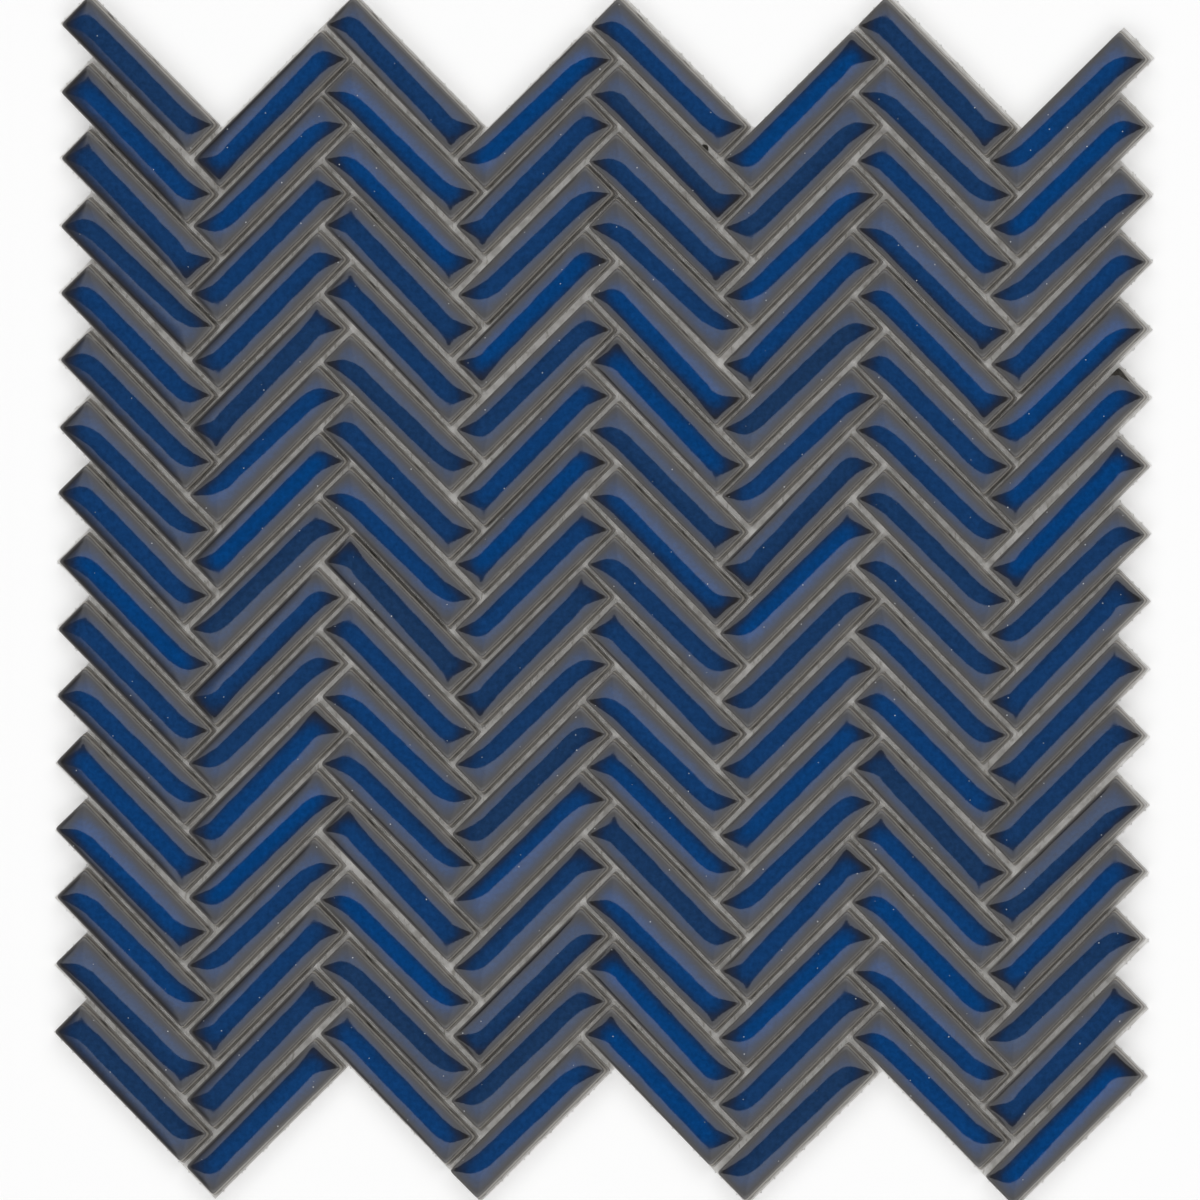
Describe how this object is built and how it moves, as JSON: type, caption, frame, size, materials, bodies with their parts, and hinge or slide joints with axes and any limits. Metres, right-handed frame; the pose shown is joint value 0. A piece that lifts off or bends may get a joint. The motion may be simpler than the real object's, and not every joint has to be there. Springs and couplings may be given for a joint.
{
  "type": "herringbone mosaic tile",
  "caption": "Sheet of narrow pillow-faced cobalt-glazed porcelain tiles laid in herringbone at 45 degrees on a thin backing, with open grout joints and an interlocking stepped edge.",
  "frame": {"origin": "middle of the sheet's outer box, on the flat back of the backing", "axes": "+Z out of the glazed faces, +Y up the height of the sheet, +X to the right across its width, seen from the glazed side"},
  "size_m": [0.2796, 0.3052, 0.0064],
  "materials": {
    "glazed_porcelain": "gloss cobalt glaze that thins to dark grey at the arrises, over an unglazed grey-brown body",
    "backing": "matt off-white glue film over a glass-fibre scrim"
  },
  "bodies": {
    "root": {"backing_sheet": "backing", "tile_column_1": "glazed_porcelain", "tile_column_2": "glazed_porcelain", "tile_column_3": "glazed_porcelain", "tile_column_4": "glazed_porcelain", "tile_column_5": "glazed_porcelain", "tile_column_6": "glazed_porcelain", "tile_column_7": "glazed_porcelain", "tile_column_8": "glazed_porcelain"}
  },
  "joints": []
}
